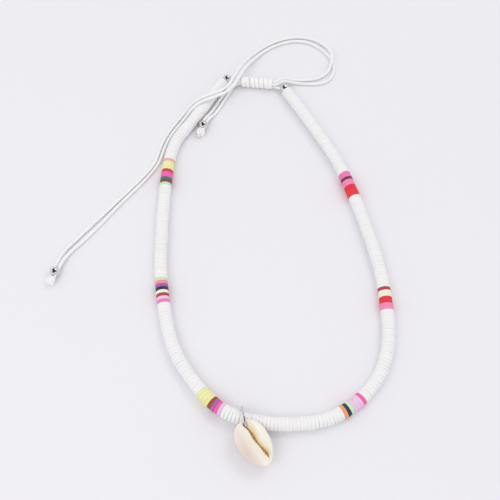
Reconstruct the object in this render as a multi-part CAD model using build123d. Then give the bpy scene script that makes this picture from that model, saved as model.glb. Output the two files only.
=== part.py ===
from build123d import *
import math
import os

os.makedirs("parts", exist_ok=True)

# A necklace of flat discs, closed by a sliding knot, lying on a surface. Millimetres, +Z up.
# The origin lies on the surface, in the middle of the string and the shell. The closure is towards +Y.

# Sizes of the discs and their thread
disc_diameter = 4.0
disc_thickness = 0.86
disc_gap = 0.18
disc_bore = 1.2
thread_diameter = 0.9

# Sizes of the cords and the knot that slides on them
cord_diameter = 1.1
cord_spare = 0.06
corner_share = 0.45
knot_length = 11.5
knot_diameter = 3.7
knot_lobes = 7
knot_groove = 0.2

# Sizes of the round beads and the knots on the tails
bead_diameter = 3.2
bead_socket_depth = 1.1
bead_to_disc = 0.2
bead_to_knot = 5.05
straight_before_bead = 1.0
tail_knot_length = 3.0
long_knot_diameter = 2.9
short_knot_diameter = 3.2
tail_knot_spare = 0.1

# Sizes of the ring and the shell
ring_wire = 0.7
ring_inner_diameter = 6.2
ring_to_disc = 0.25
shell_length = 13.6
shell_width = 9.0
shell_rise = 1.6
shell_depth = 5.2
shell_wall = 1.0
slit_width = 0.9
slit_wave = 0.3
tooth_width = 0.42
tooth_depth = 0.4
ring_hole_spare = 0.25
ring_aside_share = 0.4
ring_raised_share = 0.9
slit_start_share = 0.15
slit_stop_share = 0.90

# Places that the strings and cords run to, in the plane and above the surface
knot_left_end = (-9.8, 65.7)
knot_heading = -7.0
end_bead_right_at = (5.6, 62.5, 1.8)
tail_bead_long_at = (-67.1, -9.6)
tail_long_heading = -105.0
tail_bead_short_at = (-22.8, 46.5)
tail_short_heading = -104.5
ring_share = 0.468
ring_heading = -80.0
shell_end_ahead = 1.35
shell_end_aside = -1.0
shell_heading = -57.0
shell_slope = -5.0

# Route of the string of discs between the end beads, one line
string_route = [
    (-18.4, 62.2, 2.0),
    (-22.0, 55.5, 2.0),
    (-26.6, 47.6, 2.0),
    (-32.9, 38.4, 2.0),
    (-34.5, 24.0, 2.0),
    (-34.8, 5.5, 2.0),
    (-34.4, -10.0, 2.0),
    (-32.1, -24.5, 2.0),
    (-29.0, -35.6, 2.0),
    (-22.4, -45.6, 2.1),
    (-14.3, -53.9, 3.1),
    (-3.2, -56.9, 3.0),
    (6.5, -56.9, 2.0),
    (16.0, -55.6, 2.0),
    (25.0, -50.0, 2.0),
    (31.6, -42.0, 2.0),
    (34.6, -32.0, 2.0),
    (34.7, -20.5, 2.0),
    (33.7, -8.0, 2.0),
    (30.7, 5.0, 2.0),
    (27.6, 17.0, 2.0),
    (22.8, 31.6, 2.0),
    (14.8, 46.4, 2.0),
    (8.9, 56.8, 2.0),
    (6.85, 60.3, 2.0),
]

# How far past the knot's ends the cords of each pair start to turn
long_leads = (1.05, 1.45)
short_leads = (1.32, 1.08)
short_exits = (2.55, 2.0)

# Routes of the cords from the knot to the tail beads
long_a_route = [
    (5.2, 66.6, 2.6),
    (8.6, 67.3, 0.55),
    (14.0, 67.2, 0.6),
    (18.7, 68.2, 0.55),
    (21.9, 71.0, 0.7),
    (23.3, 74.9, 1.95),
    (23.7, 79.0, 1.95),
    (21.2, 84.2, 0.55),
    (15.6, 87.6, 0.6),
    (8.9, 87.9, 0.55),
    (2.6, 85.7, 0.6),
    (-2.4, 82.2, 0.9),
    (-6.6, 77.4, 3.0),
    (-9.6, 71.8, 6.2),
    (-12.1, 66.0, 7.5),
    (-14.3, 60.6, 7.6),
    (-18.6, 57.8, 7.7),
    (-23.6, 55.9, 7.6),
    (-27.6, 54.4, 4.6),
    (-31.0, 50.3, 1.0),
    (-34.8, 44.4, 0.6),
    (-37.2, 38.5, 0.55),
    (-38.5, 31.4, 0.6),
    (-42.6, 25.4, 0.55),
    (-49.4, 17.2, 0.6),
    (-56.2, 9.0, 0.55),
    (-61.6, 2.6, 0.6),
    (-65.7, -2.6, 0.8),
]
long_b_route = [
    (5.3, 65.1, 2.85),
    (9.6, 66.0, 0.55),
    (14.4, 65.5, 0.6),
    (19.6, 65.7, 0.55),
    (23.2, 68.5, 0.6),
    (24.3, 73.2, 0.55),
    (23.3, 77.6, 0.55),
    (20.3, 81.9, 0.55),
    (15.5, 85.6, 0.6),
    (9.2, 86.2, 0.55),
    (3.4, 84.2, 0.6),
    (-1.3, 81.1, 0.9),
    (-5.3, 76.2, 3.0),
    (-8.3, 70.6, 6.2),
    (-10.7, 64.6, 7.5),
    (-13.6, 59.0, 7.6),
    (-18.2, 56.4, 7.7),
    (-23.2, 54.4, 7.6),
    (-26.9, 52.9, 4.6),
    (-29.8, 49.4, 1.0),
    (-33.6, 43.6, 0.6),
    (-35.9, 37.9, 0.55),
    (-37.3, 30.9, 0.6),
    (-41.6, 24.5, 0.55),
    (-48.4, 16.3, 0.6),
    (-54.6, 8.0, 0.55),
    (-59.6, 1.6, 0.6),
    (-63.6, -2.6, 0.8),
]
short_a_route = [
    (-15.0, 62.1, 0.85),
    (-18.0, 56.8, 0.55),
    (-20.3, 52.3, 0.6),
]
short_b_route = [
    (-14.2, 60.8, 0.85),
    (-16.8, 56.0, 0.55),
    (-19.1, 51.6, 0.6),
]

# Colours of the discs in each group, from the left end of the string to the right
group_middle_shares = [0.151, 0.300, 0.432, 0.5785, 0.705, 0.8475]
group_colours = [
    ["dusty_pink", "yellow", "yellow", "yellow", "crimson", "hot_pink", "hot_pink", "teal", "brown", "mint"],
    ["green", "pink", "purple", "navy", "cream", "maroon", "lilac", "rose"],
    ["yellow", "yellow", "yellow", "yellow", "rust", "purple", "hot_pink", "lilac"],
    ["orange", "navy", "mint", "lilac", "lilac", "lilac", "hot_pink"],
    ["pink", "pink", "red", "red", "cream", "cream", "maroon"],
    ["red", "red", "red", "red", "pink", "pink", "dark_purple", "rose", "rose"],
]

# Cross-sections of the shell from its ring end to its tip: place along it, width, rise and depth as shares
shell_sections = [
    (0.00, 0.30, 0.26, 0.08),
    (0.07, 0.60, 0.54, 0.14),
    (0.18, 0.87, 0.82, 0.26),
    (0.34, 1.00, 0.97, 0.68),
    (0.52, 1.00, 1.00, 1.00),
    (0.70, 0.87, 0.95, 0.95),
    (0.86, 0.60, 0.75, 0.62),
    (0.96, 0.32, 0.45, 0.27),
    (1.00, 0.16, 0.24, 0.12),
]
cavity_start_share = 0.15
cavity_stop_share = 0.90


def heading(degrees):
    return Vector(math.cos(math.radians(degrees)), math.sin(math.radians(degrees)), 0)


def smooth_route(name, points):
    """Straight runs joined by tangent arcs, one radius for each corner."""
    runs = [(Vector(*b) - Vector(*a)) for a, b in zip(points, points[1:])]
    radii = []
    for before, after in zip(runs, runs[1:]):
        half_turn = math.radians(before.get_angle(after)) / 2
        radii.append(corner_share * min(before.length, after.length) / math.tan(half_turn))
    print(name, "bends", " ".join(f"{radius:.1f}" for radius in radii))
    return FilletPolyline(*points, radius=radii)


def tube(route, diameter):
    """A round tube along a route."""
    section = Plane(origin=route @ 0, z_dir=route % 0) * Circle(diameter / 2)
    return sweep(section, path=route)


def save(solids, name):
    """One file for each piece. Several loose solids go in as one compound."""
    solids = list(solids)
    shape = solids[0] if len(solids) == 1 else Compound(solids)
    shape.label = name
    export_step(shape, f"parts/{name}.step")


# Where the four cords run in the knot: the long pair above, the short pair below
cord_offset = (cord_diameter + cord_spare) / 2
knot_direction = heading(knot_heading)
knot_side = heading(knot_heading + 90)
knot_height = knot_diameter / 2
knot_start = Vector(knot_left_end[0], knot_left_end[1], knot_height)
knot_stop = knot_start + knot_direction * knot_length
long_height = Vector(0, 0, cord_offset)

# The left end bead lies in line with the knot, at the height of the long pair
end_bead_left_at = knot_start - knot_direction * bead_to_knot + long_height
right_bead = Vector(*end_bead_right_at)
bead_radius = bead_diameter / 2

# The string's line, from inside the left end bead to inside the right one
socket_bottom = bead_radius - bead_socket_depth
first_point = Vector(*string_route[0])
last_point = Vector(*string_route[-1])
left_way = (first_point - end_bead_left_at).normalized()
right_way = (last_point - right_bead).normalized()
string_points = [
    tuple(end_bead_left_at + left_way * socket_bottom),
    *string_route,
    tuple(right_bead + right_way * socket_bottom),
]
string_line = smooth_route("string", string_points)

ring_point = string_line @ ring_share

# The thread ends in the sockets of the two end beads
thread = tube(string_line, thread_diameter)
save([thread], "bead_thread")

# Discs, evenly spread along the line between the two end beads
disc_pitch = disc_thickness + disc_gap
margin = bead_radius - socket_bottom + bead_to_disc + disc_thickness / 2
string_length = string_line.length
disc_count = int((string_length - 2 * margin) / disc_pitch) + 1
disc_step = (string_length - 2 * margin) / (disc_count - 1)
flat_disc = Cylinder(disc_diameter / 2, disc_thickness) - Cylinder(disc_bore / 2, disc_thickness * 2)
flat_disc = flat_disc.solid()


def disc_at(index):
    share = (margin + index * disc_step) / string_length
    place = Plane(origin=string_line @ share, z_dir=string_line % share)
    return flat_disc.moved(place.location)


taken = set()
for number, (middle, colours) in enumerate(zip(group_middle_shares, group_colours), start=1):
    first = round(middle * disc_count - len(colours) / 2)
    for colour in dict.fromkeys(colours):
        places = [first + i for i, found in enumerate(colours) if found == colour]
        save([disc_at(i) for i in places], f"group{number}_{colour}")
        taken.update(places)

ring_index = round(ring_share * disc_count)
save([disc_at(i) for i in range(ring_index) if i not in taken], "white_discs_left")
save([disc_at(i) for i in range(ring_index, disc_count) if i not in taken], "white_discs_right")
print("discs", disc_count, "step", round(disc_step, 4), "string length", round(string_length, 2))

# Cords run from the socket of their end bead, straight through the knot, and on along their route
short_height = Vector(0, 0, -cord_offset)


def tail_points(bead, way):
    """Two points on a tail bead's axis: before the bead, and at the face of its stopper knot."""
    return bead - way * (bead_radius + straight_before_bead), bead + way * (bead_radius + tail_knot_spare)


def cord(name, points, side, bead, way):
    """The tube of one cord of a pair, which ends at the face of its stopper knot."""
    before, stop = tail_points(bead, way)
    shift = Vector(0, 0, 1).cross(way) * (-cord_offset * side)
    line = smooth_route(name, [tuple(point) for point in [*points, before + shift, stop + shift]])
    solid = tube(line, cord_diameter)
    print(name, "length", round(line.length, 1), "volume", round(solid.volume, 2))
    save([solid], name)


long_bead = Vector(*tail_bead_long_at, bead_radius)
long_way = heading(tail_long_heading)
short_bead = Vector(*tail_bead_short_at, bead_radius)
short_way = heading(tail_short_heading)

for name, side, lead, route in (
    ("long_cord_a", 1, long_leads[0], long_a_route),
    ("long_cord_b", -1, long_leads[1], long_b_route),
):
    shift = knot_side * (cord_offset * side)
    start = end_bead_left_at + knot_direction * socket_bottom + shift
    leave = knot_stop + knot_direction * lead + long_height + shift
    cord(name, [start, leave, *route], side, long_bead, long_way)

right_bead_way = (knot_stop + knot_direction * short_leads[0] + short_height - right_bead).normalized()
right_bead_side = Vector(0, 0, 1).cross(right_bead_way).normalized()
for name, side, lead, past, route in (
    ("short_cord_a", 1, short_leads[0], short_exits[0], short_a_route),
    ("short_cord_b", -1, short_leads[1], short_exits[1], short_b_route),
):
    shift = knot_side * (cord_offset * side) + short_height
    start = right_bead + right_bead_way * socket_bottom - right_bead_side * (cord_offset * side)
    enter = knot_stop + knot_direction * lead + shift
    leave = knot_start - knot_direction * past + shift
    cord(name, [start, enter, leave, *route], side, short_bead, short_way)

# The knot: a ribbed barrel with one rounded channel for the four cords
lobe = knot_length / knot_lobes
knot_groove_radius = knot_diameter / 2 - knot_groove
with BuildSketch(Plane.XZ) as knot_profile:
    with BuildLine():
        Line((0, 0), (0, knot_groove_radius))
        for i in range(knot_lobes):
            ThreePointArc(
                (i * lobe, knot_groove_radius),
                ((i + 0.5) * lobe, knot_diameter / 2),
                ((i + 1) * lobe, knot_groove_radius),
            )
        Line((knot_length, knot_groove_radius), (knot_length, 0))
        Line((knot_length, 0), (0, 0))
    make_face()
knot_body = revolve(knot_profile.sketch, Axis.X)
channel_side = 2 * (cord_offset + cord_diameter / 2 + cord_spare)
channel = extrude(Plane.YZ * RectangleRounded(channel_side, channel_side, cord_diameter / 2 + cord_spare), knot_length)
knot_place = Plane(origin=knot_start, x_dir=knot_direction, z_dir=(0, 0, 1))
sliding_knot = (knot_body - channel).solid().moved(knot_place.location)
save([sliding_knot], "sliding_knot")


def pair_hole(length):
    """An oblong hole along +X for two cords side by side."""
    width = 2 * (cord_offset + cord_diameter / 2 + cord_spare)
    height = cord_diameter + 2 * cord_spare
    return extrude(Plane.YZ * SlotOverall(width, height), length)


def end_bead(centre, cords_way, thread_way):
    """A round bead with a socket for the pair of cords and one for the thread."""
    ball = Sphere(bead_radius)
    cords_place = Plane(origin=(0, 0, 0), x_dir=cords_way, z_dir=Vector(0, 0, 1).cross(cords_way).cross(cords_way) * -1)
    ball -= (Pos(socket_bottom, 0, 0) * pair_hole(bead_diameter)).moved(cords_place.location)
    thread_place = Plane(origin=thread_way * (socket_bottom + bead_radius), z_dir=thread_way)
    ball -= Cylinder(thread_diameter / 2 + cord_spare, bead_diameter).moved(thread_place.location)
    return ball.solid().moved(Location(centre))


save([end_bead(end_bead_left_at, knot_direction, left_way)], "end_bead_left")
save([end_bead(right_bead, right_bead_way, right_way)], "end_bead_right")


def tail_bead(centre, way):
    """A round bead with a hole right through it for the pair of cords."""
    place = Plane(origin=(0, 0, 0), x_dir=way, z_dir=(0, 0, 1))
    hole = (Pos(-bead_diameter, 0, 0) * pair_hole(2 * bead_diameter)).moved(place.location)
    return (Sphere(bead_radius) - hole).solid().moved(Location(centre))


save([tail_bead(long_bead, long_way)], "tail_bead_long")
save([tail_bead(short_bead, short_way)], "tail_bead_short")


def stopper_knot(bead, way, diameter):
    """A small barrel-shaped knot whose flat face meets the ends of the two cords."""
    face = bead + way * (bead_radius + tail_knot_spare)
    end_radius = cord_offset + cord_diameter / 2 + cord_spare
    with BuildSketch(Plane.XZ) as profile:
        with BuildLine():
            Line((0, 0), (0, end_radius))
            ThreePointArc((0, end_radius), (tail_knot_length / 2, diameter / 2), (tail_knot_length, end_radius))
            Line((tail_knot_length, end_radius), (tail_knot_length, 0))
            Line((tail_knot_length, 0), (0, 0))
        make_face()
    place = Plane(origin=face, x_dir=way, z_dir=(0, 0, 1))
    return revolve(profile.sketch, Axis.X).solid().moved(place.location)


save([stopper_knot(long_bead, long_way, long_knot_diameter)], "stopper_knot_long")
save([stopper_knot(short_bead, short_way, short_knot_diameter)], "stopper_knot_short")

# The ring stands upright round the string and through the shell
ring_radius = (ring_inner_diameter + ring_wire) / 2
ring_way = heading(ring_heading)
ring_room = (ring_inner_diameter - disc_diameter) / 2 - ring_to_disc
ring_centre = ring_point + ring_way * (ring_aside_share * ring_room) + Vector(0, 0, ring_raised_share * ring_room)
ring_place = Plane(origin=ring_centre, x_dir=(0, 0, 1), z_dir=Vector(0, 0, 1).cross(ring_way))
jump_ring = Torus(ring_radius, ring_wire / 2).solid().moved(ring_place.location)
save([jump_ring], "jump_ring")


half_turn = 180


def shell_body(sections, inset):
    """A smooth body through its cross-sections, drawn in by an inset all round."""
    faces = []
    for along, width_share, rise_share, depth_share in sections:
        half_width = width_share * shell_width / 2 - inset
        rise = rise_share * shell_rise - inset
        depth = depth_share * shell_depth - inset
        with BuildSketch(Plane(origin=(along * shell_length, 0, 0), x_dir=(0, 1, 0), z_dir=(1, 0, 0))) as section:
            with BuildLine():
                EllipticalCenterArc((0, 0), half_width, rise, 0, arc_size=half_turn)
                EllipticalCenterArc((0, 0), half_width, depth, half_turn, arc_size=half_turn)
            make_face()
        faces.append(section.sketch.face())
    return Solid.make_loft([face.outer_wire() for face in faces])


shell_outer = shell_body(shell_sections, 0)
hollow_sections = [row for row in shell_sections if cavity_start_share < row[0] < cavity_stop_share]
shell_cavity = shell_body(hollow_sections, shell_wall)


# The slit runs along the upper side in a shallow wave, with fine teeth along both lips
def slit_middle(share):
    return slit_wave * math.sin(2 * math.pi * share)


slit_start = slit_start_share * shell_length
slit_stop = slit_stop_share * shell_length
slit_shares = [0, 0.25, 0.5, 0.75, 1]
slit_line = [
    (slit_start + (slit_stop - slit_start) * share, slit_middle(share)) for share in slit_shares
]
with BuildSketch() as slit_shape:
    with BuildLine():
        upper = Spline(*[(x, y + slit_width / 2) for x, y in slit_line])
        lower = Spline(*[(x, y - slit_width / 2) for x, y in slit_line])
        Line(upper @ 0, lower @ 0)
        Line(upper @ 1, lower @ 1)
    make_face()
    tooth_count = int((slit_stop - slit_start) / (2 * tooth_width)) - 2
    for i in range(tooth_count):
        share = (i + 1) / (tooth_count + 1)
        with Locations((slit_start + (slit_stop - slit_start) * share, slit_middle(share))):
            Rectangle(tooth_width, slit_width + 2 * tooth_depth)
slit_cut = extrude(slit_shape.sketch, shell_rise * 2)

shell_end_height = disc_diameter / 2 + ring_to_disc + shell_depth * shell_sections[1][3]
shell_end_at = ring_point + ring_way * shell_end_ahead + heading(ring_heading + 90) * shell_end_aside
shell_end_at += Vector(0, 0, shell_end_height)
shell_place = Plane(origin=shell_end_at, x_dir=heading(shell_heading), z_dir=(0, 0, 1))
shell_tilt = Rotation(0, -shell_slope, 0)
cowrie = (shell_outer - shell_cavity - slit_cut).solid()
cowrie = (shell_place * shell_tilt) * cowrie
ring_way_through = Torus(ring_radius, ring_wire / 2 + ring_hole_spare).moved(ring_place.location)
cowrie_shell = (cowrie - ring_way_through).solids().sort_by(SortBy.VOLUME)[-1]
save([cowrie_shell], "cowrie_shell")
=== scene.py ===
import math

import bmesh
import bpy
from mathutils import Matrix, Vector


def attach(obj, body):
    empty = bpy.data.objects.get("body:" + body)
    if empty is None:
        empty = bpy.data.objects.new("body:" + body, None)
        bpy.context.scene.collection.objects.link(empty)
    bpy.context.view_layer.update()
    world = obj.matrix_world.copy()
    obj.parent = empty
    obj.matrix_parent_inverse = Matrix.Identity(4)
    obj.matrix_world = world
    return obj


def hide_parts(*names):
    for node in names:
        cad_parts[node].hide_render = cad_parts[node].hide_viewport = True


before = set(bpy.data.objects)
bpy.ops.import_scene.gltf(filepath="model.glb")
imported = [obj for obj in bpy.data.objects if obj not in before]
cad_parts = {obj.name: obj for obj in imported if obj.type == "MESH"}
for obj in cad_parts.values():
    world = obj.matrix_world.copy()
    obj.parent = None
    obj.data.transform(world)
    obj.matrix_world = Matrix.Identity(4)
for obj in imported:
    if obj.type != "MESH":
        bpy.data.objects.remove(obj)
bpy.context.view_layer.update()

scene = bpy.context.scene
MM = 0.001
UP = Vector((0, 0, 1))
body = "root"


def mm(*point):
    """A place given in millimetres, as a point in metres."""
    return Vector(point) * MM


def heading(degrees):
    """A level direction, turned from the x axis towards the y axis."""
    return Vector((math.cos(math.radians(degrees)), math.sin(math.radians(degrees)), 0))


def angles(count):
    """The angles that divide a full turn evenly."""
    return [math.tau * k / count for k in range(count)]


def new_object(name, data):
    made = bpy.data.objects.new(name, data)
    scene.collection.objects.link(made)
    return made


# Camera: above and in front of the shell, looking down. Its focal length is in picture pixels
focal_pixels, picture_pixels = 694, 500
sensor_width = 36
camera_pitch = 63
camera = new_object("camera", bpy.data.cameras.new("camera"))
camera.data.sensor_width = sensor_width
camera.data.lens = sensor_width * focal_pixels / picture_pixels
camera.data.clip_start = 0.01
camera.data.clip_end = 20
camera.location = mm(-6.6, -101.3, 196.3)
camera.rotation_euler = (math.radians(90 - camera_pitch), 0, 0)
scene.camera = camera

# Sizes of the necklace's pieces. The cord offset is half the distance between the two cords of a pair
disc_diameter = 4.0 * MM
disc_thickness = 1.03 * MM
disc_count = 278
cord_diameter = 1.1 * MM
cord_offset = 0.57 * MM
knot_length = 11.5 * MM
knot_radius = 1.85 * MM
bead_radius = 1.6 * MM
socket_bottom = 0.5 * MM
tail_knot_face = 1.7 * MM

# Places of the closure
bead_to_knot = 5.05 * MM
knot_direction = heading(-7)
knot_side = heading(83)
knot_start = mm(-9.8, 65.7, 1.85)
knot_stop = knot_start + knot_direction * knot_length
end_bead_left_at = knot_start - knot_direction * bead_to_knot + UP * cord_offset
end_bead_right_at = mm(5.6, 62.5, 1.8)
tail_bead_long_at = mm(-67.1, -9.6, 1.6)
tail_bead_short_at = mm(-22.8, 46.5, 1.6)
tail_long_way = heading(-105)
tail_short_way = heading(-104.5)

# Line of the string of discs
string_route = [
    (-18.4, 62.2, 2.0), (-22.0, 55.5, 2.0), (-26.6, 47.6, 2.0), (-32.9, 38.4, 2.0), (-34.5, 24.0, 2.0),
    (-34.8, 5.5, 2.0), (-34.4, -10.0, 2.0), (-32.1, -24.5, 2.0), (-29.0, -35.6, 2.0), (-22.4, -45.6, 2.1),
    (-14.3, -53.9, 3.1), (-3.2, -56.9, 3.0), (6.5, -56.9, 2.0), (16.0, -55.6, 2.0), (25.0, -50.0, 2.0),
    (31.6, -42.0, 2.0), (34.6, -32.0, 2.0), (34.7, -20.5, 2.0), (33.7, -8.0, 2.0), (30.7, 5.0, 2.0),
    (27.6, 17.0, 2.0), (22.8, 31.6, 2.0), (14.8, 46.4, 2.0), (8.9, 56.8, 2.0), (6.85, 60.3, 2.0),
]

# Lines of the cords from the knot to the tail beads, with the humps over the string as low as the cords lie
long_a_route = [
    (5.2, 66.6, 2.6), (8.6, 67.3, 0.55), (14.0, 67.2, 0.6), (18.7, 68.2, 0.55), (21.9, 71.0, 0.7),
    (23.3, 74.9, 1.95), (23.7, 79.0, 1.95), (21.2, 84.2, 0.55), (15.6, 87.6, 0.6), (8.9, 87.9, 0.55),
    (2.6, 85.7, 0.6), (-2.4, 82.2, 0.7), (-6.6, 77.4, 1.7), (-9.6, 71.8, 3.9), (-12.1, 66.0, 4.9),
    (-14.3, 60.6, 5.0), (-18.6, 57.8, 5.0), (-23.6, 55.9, 5.0), (-27.6, 54.4, 2.6), (-31.0, 50.3, 0.6),
    (-34.8, 44.4, 0.6), (-37.2, 38.5, 0.55), (-38.5, 31.4, 0.6), (-42.6, 25.4, 0.55), (-49.4, 17.2, 0.6),
    (-56.2, 9.0, 0.55), (-61.6, 2.6, 0.6), (-65.7, -2.6, 0.8),
]
long_b_route = [
    (5.3, 65.1, 2.85), (9.6, 66.0, 0.55), (14.4, 65.5, 0.6), (19.6, 65.7, 0.55), (23.2, 68.5, 0.6),
    (24.3, 73.2, 0.55), (23.3, 77.6, 0.55), (20.3, 81.9, 0.55), (15.5, 85.6, 0.6), (9.2, 86.2, 0.55),
    (3.4, 84.2, 0.6), (-1.3, 81.1, 0.7), (-5.3, 76.2, 1.7), (-8.3, 70.6, 3.9), (-10.7, 64.6, 4.9),
    (-13.6, 59.0, 5.0), (-18.2, 56.4, 5.0), (-23.2, 54.4, 5.0), (-26.9, 52.9, 2.6), (-29.8, 49.4, 0.6),
    (-33.6, 43.6, 0.6), (-35.9, 37.9, 0.55), (-37.3, 30.9, 0.6), (-41.6, 24.5, 0.55), (-48.4, 16.3, 0.6),
    (-54.6, 8.0, 0.55), (-59.6, 1.6, 0.6), (-63.6, -2.6, 0.8),
]
short_a_route = [(-15.0, 62.1, 0.85), (-18.0, 56.8, 0.55), (-20.3, 52.3, 0.6)]
short_b_route = [(-14.2, 60.8, 0.85), (-16.8, 56.0, 0.55), (-19.1, 51.6, 0.6)]


# Building node trees
def feed(tree, node, inputs):
    """Joins a node's inputs to sockets or sets them to values."""
    for key, value in inputs.items():
        if isinstance(value, bpy.types.NodeSocket):
            tree.links.new(value, node.inputs[key])
        else:
            node.inputs[key].default_value = value


def put(tree, kind, inputs=None, **settings):
    """A node with its settings and its inputs."""
    node = tree.nodes.new(kind)
    for name, value in settings.items():
        setattr(node, name, value)
    feed(tree, node, inputs or {})
    return node


def get(tree, kind, inputs=None, **settings):
    """The first output of a new node."""
    return put(tree, kind, inputs, **settings).outputs[0]


def calc(tree, operation, a, b=0.0, c=0.0):
    return get(tree, "ShaderNodeMath", {0: a, 1: b, 2: c}, operation=operation)


def times(tree, a, b):
    return calc(tree, "MULTIPLY", a, b)


value_types = {float: "Float", int: "Int", tuple: "Color"}


def new_tree(name, kind, inputs, outputs):
    """A node tree with named sockets. An input is given by its value, or by its type where it has none."""
    tree = bpy.data.node_groups.new(name, kind)
    for label, value in inputs.items():
        socket_type = "NodeSocket" + value_types.get(type(value), value)
        made = tree.interface.new_socket(label, in_out="INPUT", socket_type=socket_type)
        if not isinstance(value, str):
            made.default_value = value
    for label, value_type in outputs.items():
        tree.interface.new_socket(label, in_out="OUTPUT", socket_type="NodeSocket" + value_type)
    return tree, tree.nodes.new("NodeGroupInput").outputs, tree.nodes.new("NodeGroupOutput")


def evaluated_mesh(holder):
    """The plain mesh of an object as its modifiers leave it."""
    depsgraph = bpy.context.evaluated_depsgraph_get()
    depsgraph.update()
    return bpy.data.meshes.new_from_object(holder.evaluated_get(depsgraph), depsgraph=depsgraph)


def grow(source, name, tree, values):
    """The plain mesh that a geometry tree makes from an object's curve, as an object of its own."""
    modifier = source.modifiers.new(name, "NODES")
    modifier.node_group = tree
    for item in tree.interface.items_tree:
        if item.item_type == "SOCKET" and item.in_out == "INPUT" and item.name in values:
            modifier[item.identifier] = values[item.name]
    source.update_tag()
    mesh = evaluated_mesh(source)
    mesh.name = name
    source.modifiers.remove(modifier)
    return new_object(name, mesh)


def spline(name, points):
    """A smooth line through the air, steered by its route's points."""
    curve = bpy.data.curves.new(name, "CURVE")
    curve.dimensions = "3D"
    curve.resolution_u = 24
    line = curve.splines.new("NURBS")
    line.points.add(len(points) - 1)
    for point, place in zip(line.points, points):
        point.co = (*place, 1)
    line.order_u = 3
    line.use_endpoint_u = True
    return new_object(name, curve)


def points_along(holder):
    """The points of a bare spline, in order."""
    mesh = evaluated_mesh(holder)
    places = [v.co.copy() for v in mesh.vertices]
    bpy.data.meshes.remove(mesh)
    return places


def discard(holder):
    """Removes a working object with its curve or mesh."""
    data = holder.data
    bpy.data.objects.remove(holder)
    store_of_kind = bpy.data.curves if isinstance(data, bpy.types.Curve) else bpy.data.meshes
    store_of_kind.remove(data)


# Nodes that the materials share
def noise(tree, vector, scale, detail, roughness, distortion=0.0):
    return get(tree, "ShaderNodeTexNoise", {"Vector": vector, "Scale": scale, "Detail": detail,
                                            "Roughness": roughness, "Distortion": distortion})


def ranged(tree, value, start=0.0, stop=1.0, low=0.0, high=1.0):
    """A value brought from the range start to stop into the range low to high."""
    return get(tree, "ShaderNodeMapRange", {"Value": value, 1: start, 2: stop, 3: low, 4: high})


def blend(tree, share, first, second):
    """A colour between two others."""
    return put(tree, "ShaderNodeMix", {0: share, 6: first, 7: second}, data_type="RGBA").outputs[2]


def attribute(tree, name, output="Fac"):
    return put(tree, "ShaderNodeAttribute", attribute_name=name).outputs[output]


def object_place(tree):
    return put(tree, "ShaderNodeTexCoord").outputs["Object"]


def swing(tree, value, size):
    """How far a value is from 0.5, times a size."""
    return times(tree, calc(tree, "SUBTRACT", value, 0.5), size)


def shaded(tree, colour, offset, amount):
    """A colour made lighter or darker by an offset times an amount."""
    value = calc(tree, "ADD", 1.0, times(tree, offset, amount))
    return get(tree, "ShaderNodeHueSaturation", {"Color": colour, "Value": value})


def bump(tree, height, distance, strength):
    return get(tree, "ShaderNodeBump", {"Height": height, "Distance": distance, "Strength": strength})


def group_mottle():
    """A colour that varies a little over the surface, from broad clouds to fine specks."""
    tree, g, result = new_tree(
        "mottle", "ShaderNodeTree",
        {"Color": (1, 1, 1, 1), "Cloud Scale": 300.0, "Speck Scale": 2500.0, "Amount": 0.1, "Tone": 0.5},
        {"Color": "Color", "Height": "Float", "Clouds": "Float"},
    )
    place = object_place(tree)
    cloud = noise(tree, place, g["Cloud Scale"], 3.0, 0.55)
    speck = noise(tree, place, g["Speck Scale"], 4.0, 0.65)
    both = calc(tree, "ADD", swing(tree, cloud, 1.0), swing(tree, speck, 0.6))
    toned = calc(tree, "ADD", both, swing(tree, g["Tone"], 0.5))
    feed(tree, result, {"Color": shaded(tree, g["Color"], toned, g["Amount"]), "Height": speck,
                        "Clouds": cloud})
    return tree


def group_fibres():
    """Fine fibres that run along a twisted cord, and painted shade in the furrows between its plies."""
    tree, g, result = new_tree(
        "fibres", "ShaderNodeTree",
        {"Color": (1, 1, 1, 1), "Furrow Shade Color": (0.6, 0.58, 0.56, 1), "Fibre Scale": 9.0, "Amount": 0.12},
        {"Color": "Color", "Height": "Float", "Roughness": "Float"},
    )
    threads = noise(tree, attribute(tree, "yarn", "Vector"), g["Fibre Scale"], 4.0, 0.7)
    fuzz = noise(tree, object_place(tree), 1400.0, 3.0, 0.6)
    height = calc(tree, "ADD", threads, times(tree, fuzz, 0.4))
    shade = shaded(tree, g["Color"], calc(tree, "SUBTRACT", height, 0.7), g["Amount"])
    # The furrow colour is painted shade, laid over the grooves between the plies
    feed(tree, result, {
        "Color": blend(tree, attribute(tree, "furrow_shade"), shade, g["Furrow Shade Color"]), "Height": height,
        "Roughness": calc(tree, "ADD", 0.45, times(tree, threads, 0.35)),
    })
    return tree


def group_handling():
    """Hair scratches and finger marks on polished metal."""
    tree, g, result = new_tree(
        "handling", "ShaderNodeTree", {"Scratch Scale": 500.0, "Low": 0.08, "High": 0.3},
        {"Roughness": "Float", "Height": "Float", "Mask": "Float"},
    )
    place = object_place(tree)
    turned = get(tree, "ShaderNodeMapping",
                 {"Vector": place, "Rotation": (0.6, 0.4, 0.9), "Scale": (1, 14, 3)})
    cut = ranged(tree, noise(tree, turned, g["Scratch Scale"], 2.0, 0.5), 0.58, 0.66)
    smear = ranged(tree, noise(tree, place, 700.0, 4.0, 0.6), 0.4, 0.7)
    both = calc(tree, "MAXIMUM", times(tree, cut, 0.6), smear)
    feed(tree, result, {"Roughness": ranged(tree, both, low=g["Low"], high=g["High"]), "Height": cut,
                        "Mask": both})
    return tree


mottle = group_mottle()
fibres = group_fibres()
handling = group_handling()


# Materials
def use(tree, group, inputs):
    """The outputs of a shader group."""
    return put(tree, "ShaderNodeGroup", inputs, node_tree=group).outputs


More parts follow.
